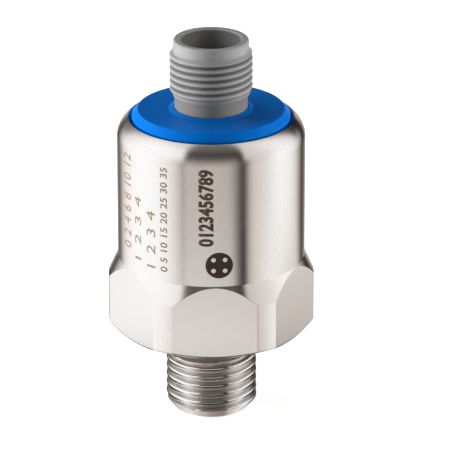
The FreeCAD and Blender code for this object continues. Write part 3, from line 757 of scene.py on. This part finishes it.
def metric_fade(turns):
    """Share of the thread's full height, rising evenly from a trace of it where the thread starts."""
    return np.clip((turns - METRIC_START) / METRIC_GROWTH, 0.02, 1)


def socket_radius(around, edge):
    """Radius of the socket's wall. Between the coding key's two edges it follows the key's flat face:
    KEY_FACE over the cosine of the angle from the front."""
    from_key = np.mod(around + math.pi, TURN) - math.pi
    return np.where(np.abs(from_key) < edge + 1e-6, KEY_FACE / np.cos(from_key), SOCKET)


def connector_grid():
    """The outline carried round the axis: up the flange, the neck and the thread, over the rim, and
    down inside the socket."""
    edge = math.atan(KEY_HALF_WIDTH / KEY_FACE)
    beside = 0.006
    around = columns(CONNECTOR_COLUMNS, [-edge - beside, -edge, edge, edge + beside])
    inner = socket_radius(around, edge)
    flange = [
        (BACK_BORE, FLANGE_SEAT, 0),
        (FLANGE, FLANGE_SEAT, 0.1),
        (FLANGE, GROOVE_BOTTOM, 0),
        (GROOVE, GROOVE_BOTTOM, 0),
        (GROOVE, GROOVE_TOP, 0),
        (FLANGE, GROOVE_TOP, 0),
        (FLANGE, FLANGE_TOP, 0.1),
        (BOSS, FLANGE_TOP, 0),
        (BOSS, BOSS_TOP, 0.1),
        (NECK, BOSS_TOP, 0.15),
        (NECK, METRIC_BOTTOM, 0),
    ]
    thread = thread_rows(
        around,
        METRIC_PITCH,
        METRIC_CREST,
        metric_section(),
        METRIC_BOTTOM,
        METRIC_TOP,
        metric_envelope,
        metric_fade,
    )
    rim = [
        (LEAD, METRIC_TOP, 0),
        (LEAD, RIM_TOP - RIM_CHAMFER, 0.1),
        (LEAD - RIM_CHAMFER, RIM_TOP, 0.12),
        (SOCKET + RIM_CHAMFER, RIM_TOP, 0.1),
        (SOCKET, RIM_TOP - RIM_CHAMFER, 0.08),
        (SOCKET, KEY_TOP + KEY_EDGE, 0),
        (inner, KEY_TOP, 0.05),
        (inner, SOCKET_FLOOR + KEY_EDGE, 0.03),
        (SOCKET, SOCKET_FLOOR, 0),
        (SOCKET, FLANGE_TOP, 0),
        (INSERT_BORE, FLANGE_TOP, 0),
        (INSERT_BORE, BACK_FLOOR, 0),
        (BACK_BORE, BACK_FLOOR, 0),
    ]
    rows = outline_rows(flange, around) + thread + outline_rows(rim, around)
    return surface(rows, around)


connector_mesh = closed_mesh("moulded_connector", connector_grid())
add_piece("moulded_connector", connector_mesh, GREY, ["connector_shell"])

# Cover ring ------------------------------------------------------------------------------------------


def cover_grid():
    """The cover's section carried round the axis: recess below, the shoulder under the lip, the
    side, the bevel, the flat and the collar."""
    around = columns(ROUND_COLUMNS)
    arc_radius = LIP_INNER_RADIUS - COVER_CLEARANCE
    arc_end = math.acos((COVER_SIDE - SHOULDER_CENTRE) / arc_radius)
    section = [
        (COLLAR, COVER_RECESS_TOP, 0),
        (COVER_RECESS, COVER_RECESS_TOP, 0),
        (COVER_RECESS, FLANGE_TOP, 0),
        (SHOULDER_CENTRE + arc_radius, FLANGE_TOP, 0.05),
        *arc_corners(SHOULDER_CENTRE, SHOULDER, arc_radius, 0, arc_end, 8),
        (COVER_SIDE, BEVEL_BOTTOM, 0.15),
        (COVER_FLAT, COVER_TOP, 0.15),
        (COLLAR_FOOT, COVER_TOP, 0.15),
        (COLLAR, COLLAR_TOP, 0.08),
        (COLLAR, COLLAR_MIDDLE, 0),
    ]
    return surface(outline_rows(section, around), around)


cover_mesh = closed_mesh("moulded_cover", cover_grid())
add_piece("moulded_cover", cover_mesh, BLUE, ["cover_ring"])

# Contact pins ----------------------------------------------------------------------------------------


def add_contact(number):
    """A turned pin where its CAD node stands, an outline carried round its own axis: tail, shank,
    and a tip that is half a sphere."""
    node = f"contact_pin_{number}"
    name = f"gilt_pin_{number}"
    low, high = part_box(node)
    middle = (low + high) / 2
    around = columns(PIN_COLUMNS)
    section = [
        (0, PIN_BOTTOM, 0),
        (PIN_TAIL, PIN_BOTTOM, 0.05),
        (PIN_TAIL, PIN_STEP_BOTTOM, 0),
        (PIN, PIN_STEP_BOTTOM, 0.05),
        *arc_corners(0, PIN_TOP - PIN, PIN, 0, math.pi / 2, 6)[:-1],
        (0, PIN_TOP, 0),
    ]
    grid = surface(outline_rows(section, around), around)
    grid[..., :2] += np.array([middle.x, middle.y])
    add_piece(name, closed_mesh(name, grid), GILT, [node])


for contact in range(1, 5):
    add_contact(contact)

# Laser marks -----------------------------------------------------------------------------------------

MARK_LIFT = 0.012
MARK_DEPTH = 0.03
MARK_STRIP = 0.25

# Plain figures on the drum: text, boldness, finish, left and right edge in degrees, foot and head.
FIGURES = [
    ("0123456789", 0.045, MARK, -10.2, -0.5, 29.8, 41.3),
    # These four figures, on the lit left, take the paler copy of the mark with painted light.
    ("0 5 10 15 20 25 30 35", 0.018, LIT_SIDE_MARK, -34.6, -29.7, 25.3, 41.0),
    ("1 2 3 4", 0.0, LIT_SIDE_MARK, -45.0, -38.2, 25.5, 34.0),
    ("1 2 3 4", 0.0, LIT_SIDE_MARK, -55.6, -49.8, 26.0, 35.5),
    ("0 2 4 6 8 10 12", 0.0, LIT_SIDE_MARK, -68.7, -59.8, 27.0, 41.2),
]

# Round pin-face symbol: where its middle stands in degrees, its radius, its foot and head, and its
# holes as shares of its radius.
DISC_MIDDLE = 2.6
DISC = 1.95
DISC_FOOT = 25.0
DISC_HEAD = 28.9
DISC_HOLE = 0.17
DISC_HOLE_PLACE = 0.42
DISC_POINTS = 48


def flat_mesh(curve):
    """The filled outline of a text or a curve as a flat mesh."""
    holder = bpy.data.objects.new(curve.name, curve)
    bpy.context.scene.collection.objects.link(holder)
    bpy.context.view_layer.update()
    mesh = bpy.data.meshes.new_from_object(holder)
    bpy.data.objects.remove(holder)
    return mesh


def figures_mesh(text, bold):
    """Figures in Blender's own font, reading along X."""
    curve = bpy.data.curves.new("figures", "FONT")
    curve.body = text
    curve.offset = bold
    curve.resolution_u = 4
    curve.space_character = 1.05
    return flat_mesh(curve)


def disc_mesh():
    """A disc of radius 1 with four round holes: each edge is (x + r cos a, y + r sin a)."""
    curve = bpy.data.curves.new("pin_face", "CURVE")
    curve.dimensions = "2D"
    curve.fill_mode = "BOTH"
    angles = np.arange(DISC_POINTS) * TURN / DISC_POINTS
    places = (-DISC_HOLE_PLACE, DISC_HOLE_PLACE)
    circles = [(0, 0, 1)] + [(across, up, DISC_HOLE) for across in places for up in places]
    for across, up, radius in circles:
        spline = curve.splines.new("POLY")
        spline.points.add(DISC_POINTS - 1)
        points = np.zeros((DISC_POINTS, 4))
        points[:, 0] = across + radius * np.cos(angles)
        points[:, 1] = up + radius * np.sin(angles)
        points[:, 3] = 1
        spline.points.foreach_set("co", points.ravel())
        spline.use_cyclic_u = True
    return flat_mesh(curve)


def points_of(mesh):
    """The mesh's points, one to a row."""
    flat = np.empty(len(mesh.vertices) * 3)
    mesh.vertices.foreach_get("co", flat)
    return flat.reshape(-1, 3)


def cut_into_strips(mesh, start, span, count):
    """Cuts a flat mesh along X into strips of one width."""
    work = bmesh.new()
    work.from_mesh(mesh)
    for share in np.arange(1, count) / count:
        everything = work.verts[:] + work.edges[:] + work.faces[:]
        cut = Vector((0, start + span * share, 0))
        bmesh.ops.bisect_plane(work, geom=everything, plane_co=cut, plane_no=Vector((0, 1, 0)))
    bmesh.ops.remove_doubles(work, verts=work.verts[:], dist=1e-6)
    work.to_mesh(mesh)
    work.free()


def wrap_mark(mesh, left, right, low, high):
    """Lays a flat mesh on the drum, reading upwards: height = low + share along X * (high - low), and
    the angle goes from right to left with the share along Y. It is cut into strips first, so that it
    follows the curve."""
    flat = points_of(mesh)
    start, span = flat.min(axis=0), np.ptp(flat, axis=0)
    width = math.radians(right - left) * DRUM
    cut_into_strips(mesh, start[1], span[1], max(2, int(width / MARK_STRIP)))
    share = (points_of(mesh) - start) / np.maximum(span, 1e-9)
    angle = np.radians(right + (left - right) * share[:, 1])
    height = low + (high - low) * share[:, 0]
    reach = DRUM + MARK_LIFT
    placed = np.stack([reach * np.sin(angle), -reach * np.cos(angle), height], axis=-1) * MM
    mesh.vertices.foreach_set("co", placed.ravel())
    mesh.update()


def add_mark(name, mesh, finish, *place):
    """A mark on the drum, with its thickness inwards from the face that shows."""
    wrap_mark(mesh, *place)
    wall = add_piece(name, mesh, finish).modifiers.new("thickness", "SOLIDIFY")
    wall.thickness = MARK_DEPTH * MM
    wall.offset = -1


def add_marks():
    """The figures and the symbol."""
    for number, (text, bold, finish, *place) in enumerate(FIGURES, start=1):
        add_mark(f"laser_figures_{number}", figures_mesh(text, bold), finish, *place)
    half = math.degrees(DISC / DRUM)
    place = (DISC_MIDDLE - half, DISC_MIDDLE + half, DISC_FOOT, DISC_HEAD)
    add_mark("laser_pin_face", disc_mesh(), DEEP_MARK, *place)


add_marks()

# Finishes of the pieces that come from the CAD model -------------------------------------------------

for name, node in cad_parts.items():
    finish = NODE_FINISHES.get(name) or NODE_FINISHES.get(name.rsplit("_", 1)[0])
    if finish and not node.hide_render:
        node.data.materials.clear()
        node.data.materials.append(finish)

# Studio ----------------------------------------------------------------------------------------------
#
# Lengths of the floor, the lamps and the camera are in metres, and the table's rings in millimetres.

WHITE = (1, 1, 1)
BRIGHTNESS = 1.12
EVEN_LIGHT = 0.22
FLOOR_SIZE = 8
FLOOR_HEIGHT = -0.0002
FLOOR_TONE = 0.5
FLOOR_GLOW = 0.75

# Levels of the studio round the part: angle in degrees from -Y towards +X, and level. The walls
# stand above the table. The table has four rings: far out, where the drum mirrors it, nearer, where
# the flats do, round the stud, and close to the stud's tip. The two rings close in carry the part's
# painted shadow on the table, darkest in front and behind.
WALL_TONES = [
    (-180, 40), (-168, 50), (-156, 105), (-140, 125), (-125, 235), (-97, 254), (-60, 250),
    (-38, 240), (50, 205), (70, 222), (95, 246), (118, 228), (128, 44), (160, 28), (180, 40),
]
FAR_TONES = [
    (-170, 205), (-161, 110), (-153, 62), (-147, 140), (-138, 208), (-131, 238), (-117, 250),
    (-100, 255), (-74, 250), (-57, 232), (-47, 206), (-42, 184), (-37, 146), (-31, 187), (3, 187),
    (18, 178), (27, 150), (33, 96), (37, 28), (40, 48), (45, 166), (50, 198), (63, 213), (80, 241),
    (92, 252), (112, 240), (124, 215), (132, 168), (138, 100), (144, 36), (152, 88), (160, 190),
]
NEAR_TONES = [
    (-180, 190), (-160, 100), (-152, 90), (-140, 222), (-118, 255), (-90, 255), (-58, 255),
    (-44, 245), (-18, 255), (0, 247), (24, 244), (31, 150), (37, 40), (41, 70), (46, 206), (56, 222),
    (68, 248), (80, 240), (95, 202), (110, 180), (122, 184), (132, 210), (139, 130), (145, 40),
    (153, 130), (165, 190),
]
STUD_TONES = [
    (-180, 44), (-128, 44), (-112, 90), (-94, 225), (-78, 238), (-62, 165), (-42, 108), (-31, 78),
    (-24, 38), (10, 34), (37, 24), (43, 70), (52, 120), (74, 190), (90, 240), (102, 185), (111, 80),
    (122, 26), (180, 40),
]
TIP_TONES = [
    (-180, 120), (-120, 215), (-80, 235), (-45, 195), (0, 150), (40, 140), (50, 190), (90, 235),
    (130, 215), (180, 120),
]

# Level in the gap between the walls, by elevation in degrees, and the levels of the ceiling, of the
# post at the gap's right edge, and of the table far out in front.
GAP_TONES = [(-10, 168), (8, 125), (22, 60), (36, 18), (48, 40), (62, 102), (90, 92)]
CEILING_LEVEL = 215
POST_LEVEL = 36
FRONT_LEVEL = 135

# Elevations where the wall rises from the table and gives way to the ceiling.
WALL_FOOT = (0, 14)
CEILING_EDGE = (45, 70)

# The gap's left and right edges, where sideways = slope * back + start.
LEFT_EDGE = (0.48, -0.19)
RIGHT_EDGE = (-0.45, 0.26)

# Distances where one ring of the table gives way to the next, and far out to the tone in front,
# which lies between the angles of FRONT.
TIP_RING = (6.6, 8)
STUD_RING = (29, 37)
NEAR_RING = (56, 76)
FRONT_RING = (120, 1200)
FRONT = (-36, 40)

# Lamps: name, azimuth and elevation in degrees, width, height, and power in watts. They stand
# LAMP_DISTANCE from a point at LAMP_AIM on the axis.
LAMP_DISTANCE = 0.6
LAMP_AIM = 0.03
LAMPS = [
    ("left_lamp", -92, 1, 0.25, 0.08, 7.7),
    ("left_high_lamp", -92, 32, 0.2, 0.2, 1.7),
    ("right_lamp", 88, 1, 0.25, 0.08, 4.6),
    ("right_high_lamp", 88, 32, 0.2, 0.2, 1.2),
    ("front_lamp", 0, 1, 0.25, 0.08, 0.75),
    ("back_lamp", -140, 58, 0.3, 0.3, 1.3),
]

# Camera: angles in degrees, distance from a point at CAMERA_MIDDLE on the axis, how far its aim lies
# to the right of that point and above it, and focal length in millimetres.
CAMERA_AZIMUTH = -2.2
CAMERA_ELEVATION = 21.974
CAMERA_DISTANCE = 0.55167
CAMERA_MIDDLE = 0.025
AIM_RIGHT = 0.001974
AIM_UP = 0.002565
FOCAL_LENGTH = 307.2


def warm(level):
    """A light tone of the studio by its level from 0 to 255: white when bright, a little warm when
    grey."""
    value = (level / 255) ** 2.2
    warmth = min(1.0, (1 - value) * 2)
    return tuple(value * share * BRIGHTNESS for share in (1, 1 - 0.11 * warmth, 1 - 0.19 * warmth))


def brown(level):
    """A dark tone of the table's painted shadow close to the stud: the darker, the browner."""
    value = (level / 255) ** 2.2
    depth = 1 - value
    return tuple(value * share * BRIGHTNESS for share in (1, 1 - 0.24 * depth, 1 - 0.36 * depth))


def tones_along(tree, value, stops, low=-180, high=180, tone=warm):
    """Tones along a value from low to high: (value, level) stops, joined evenly."""
    node = tree.add("ShaderNodeValToRGB")
    elements = node.color_ramp.elements
    while len(elements) < len(stops):
        elements.new(0.5)
    for element, (place, level) in zip(elements, stops):
        element.position = (place - low) / (high - low)
        element.color = (*tone(level), 1)
    tree.feed(node.inputs["Fac"], tree.ramp(value, low, high, kind="LINEAR"))
    return node.outputs["Color"]


def gap_between_walls(tree, sideways, back, elevation):
    """The dark gap in front and overhead: where it is, and its tone, darker at the post."""
    slope, start = LEFT_EDGE
    from_left = tree.minus(sideways, tree.plus(tree.times(back, slope), start))
    slope, start = RIGHT_EDGE
    from_right = tree.minus(sideways, tree.plus(tree.times(back, slope), start))
    gap = tree.times(
        tree.ramp(from_left, -0.08, 0.08),
        tree.ramp(from_right, -0.05, 0.05, 1, 0),
        tree.ramp(back, 0.1, 0.35, 1, 0),
        tree.ramp(elevation, -2, 8),
    )
    post = tree.times(tree.ramp(from_right, -0.26, -0.1), tree.ramp(elevation, 50, 20))
    tone = tones_along(tree, elevation, GAP_TONES, -90, 90)
    return gap, tree.blend(post, tone, warm(POST_LEVEL))


def make_world():
    """A soft studio: a white wall at the left, a paler one at the right, a dark gap between them in
    front and overhead, and dark corners behind. Dull surfaces get an even, weaker light from it, and
    the lamps do the rest."""
    world = bpy.data.worlds.new("studio")
    bpy.context.scene.world = world
    world.use_nodes = True
    tree = Tree(world.node_tree)
    tree.nodes.clear()
    direction = tree.add("ShaderNodeTexCoord").outputs["Generated"]
    sideways, back, rise = tree.split(direction)
    around = tree.angle_around(sideways, back)
    elevation = tree.work_out("DEGREES", tree.work_out("ARCSINE", rise))
    wall = tones_along(tree, around, WALL_TONES)
    wall = tree.blend(tree.ramp(elevation, *CEILING_EDGE), wall, warm(CEILING_LEVEL))
    table = tones_along(tree, around, FAR_TONES)
    colour = tree.blend(tree.ramp(elevation, *WALL_FOOT), table, wall)
    gap, tone = gap_between_walls(tree, sideways, back, elevation)
    mirrored = tree.light("ShaderNodeBackground", tree.blend(gap, colour, tone))
    even = tree.light("ShaderNodeBackground", WHITE, EVEN_LIGHT)
    backdrop = tree.light("ShaderNodeBackground", WHITE)
    path = tree.add("ShaderNodeLightPath").outputs
    shown = tree.blend_shaders(path["Is Diffuse Ray"], mirrored, even)
    shown = tree.blend_shaders(path["Is Camera Ray"], shown, backdrop)
    tree.feed(tree.add("ShaderNodeOutputWorld").inputs["Surface"], shown)


def table_colour(tree):
    """The table's colour, as reflections see it: pale at the sides, grey in front, and darkest close
    in, where the part's shadow is painted, with the painted shadow of the gap's edge. A point of it is
    given the angle of the ray that comes to it from the drum: its own angle plus the drum's radius
    over its reach times the sine of half its angle."""
    place = tree.place()
    across, deep, _ = tree.split(place)
    length = tree.add("ShaderNodeVectorMath", operation="LENGTH")
    tree.feed(length.inputs[0], place)
    reach = tree.times(length.outputs["Value"], 1 / MM)
    around = tree.angle_around(across, deep)
    half_angle = tree.work_out("RADIANS", tree.times(around, 0.5))
    turned = tree.times(tree.work_out("DIVIDE", DRUM, reach), tree.work_out("SINE", half_angle))
    around = tree.plus(around, tree.work_out("DEGREES", turned))
    far = tones_along(tree, around, FAR_TONES)
    front = tree.blend(tree.between(around, *FRONT, 8), far, warm(FRONT_LEVEL))
    near = tones_along(tree, around, NEAR_TONES)
    # The rings round the stud and its tip are the part's painted shadow on the table.
    stud = tones_along(tree, around, STUD_TONES, tone=brown)
    tip = tones_along(tree, around, TIP_TONES, tone=brown)
    colour = tree.blend(tree.ramp(reach, *FRONT_RING), far, front)
    colour = tree.blend(tree.ramp(reach, *NEAR_RING), near, colour)
    colour = tree.blend(tree.ramp(reach, *STUD_RING), stud, colour)
    return tree.blend(tree.ramp(reach, *TIP_RING), tip, colour)


def make_floor():
    """A pale floor that takes the part's shadow. To reflections it glows as a painted studio table,
    with painted shadow close to the part.
    """
    bpy.ops.mesh.primitive_plane_add(size=FLOOR_SIZE, location=(0, 0, FLOOR_HEIGHT))
    floor = bpy.context.object
    floor.name = "studio_floor"
    material = bpy.data.materials.new("pale_floor")
    material.use_nodes = True
    tree = Tree(material.node_tree)
    tree.nodes.clear()
    path = tree.add("ShaderNodeLightPath").outputs
    plain = tree.add("ShaderNodeBsdfDiffuse")
    tree.feed(plain.inputs["Color"], (FLOOR_TONE, FLOOR_TONE, FLOOR_TONE))
    glow = tree.light("ShaderNodeEmission", WHITE, tree.times(path["Is Camera Ray"], FLOOR_GLOW))
    lit = tree.add("ShaderNodeAddShader")
    tree.feed(lit.inputs[0], plain.outputs[0])
    tree.feed(lit.inputs[1], glow)
    mirrored = tree.light("ShaderNodeEmission", table_colour(tree))
    shown = tree.blend_shaders(path["Is Glossy Ray"], lit.outputs[0], mirrored)
    tree.feed(tree.add("ShaderNodeOutputMaterial").inputs["Surface"], shown)
    floor.data.materials.append(material)


def direction_to(azimuth, elevation):
    """Unit vector towards an angle round the axis and an elevation: (sin a cos e, -cos a cos e,
    sin e)."""
    azimuth, elevation = math.radians(azimuth), math.radians(elevation)
    across = math.sin(azimuth) * math.cos(elevation)
    deep = -math.cos(azimuth) * math.cos(elevation)
    return Vector((across, deep, math.sin(elevation)))


def add_lamp(name, azimuth, elevation, width, height, energy):
    """A soft lamp that lights the middle of the part and doesn't show in reflections."""
    lamp = bpy.data.lights.new(name, "AREA")
    lamp.shape = "RECTANGLE"
    lamp.energy = energy
    lamp.size = width
    lamp.size_y = height
    lamp_object = bpy.data.objects.new(name, lamp)
    bpy.context.scene.collection.objects.link(lamp_object)
    back = direction_to(azimuth, elevation)
    lamp_object.location = Vector((0, 0, LAMP_AIM)) + back * LAMP_DISTANCE
    lamp_object.rotation_euler = back.to_track_quat("Z", "Y").to_euler()
    lamp_object.visible_glossy = False


def make_camera():
    """The camera stands off the middle of the part, with its aim moved sideways and up."""
    middle = Vector((0, 0, CAMERA_MIDDLE))
    back = direction_to(CAMERA_AZIMUTH, CAMERA_ELEVATION)
    right = direction_to(CAMERA_AZIMUTH + 90, 0)
    aim = middle + right * AIM_RIGHT + back.cross(right) * AIM_UP
    camera = bpy.data.cameras.new("camera")
    camera.lens = FOCAL_LENGTH
    camera.sensor_width = 36
    camera.clip_start = 0.01
    camera.clip_end = 50
    camera_object = bpy.data.objects.new("camera", camera)
    bpy.context.scene.collection.objects.link(camera_object)
    camera_object.location = middle + back * CAMERA_DISTANCE
    to_camera = camera_object.location - aim
    camera_object.rotation_euler = to_camera.to_track_quat("Z", "Y").to_euler()
    bpy.context.scene.camera = camera_object


make_world()
make_floor()
for lamp_values in LAMPS:
    add_lamp(*lamp_values)
make_camera()
bpy.context.scene.view_settings.view_transform = "Standard"
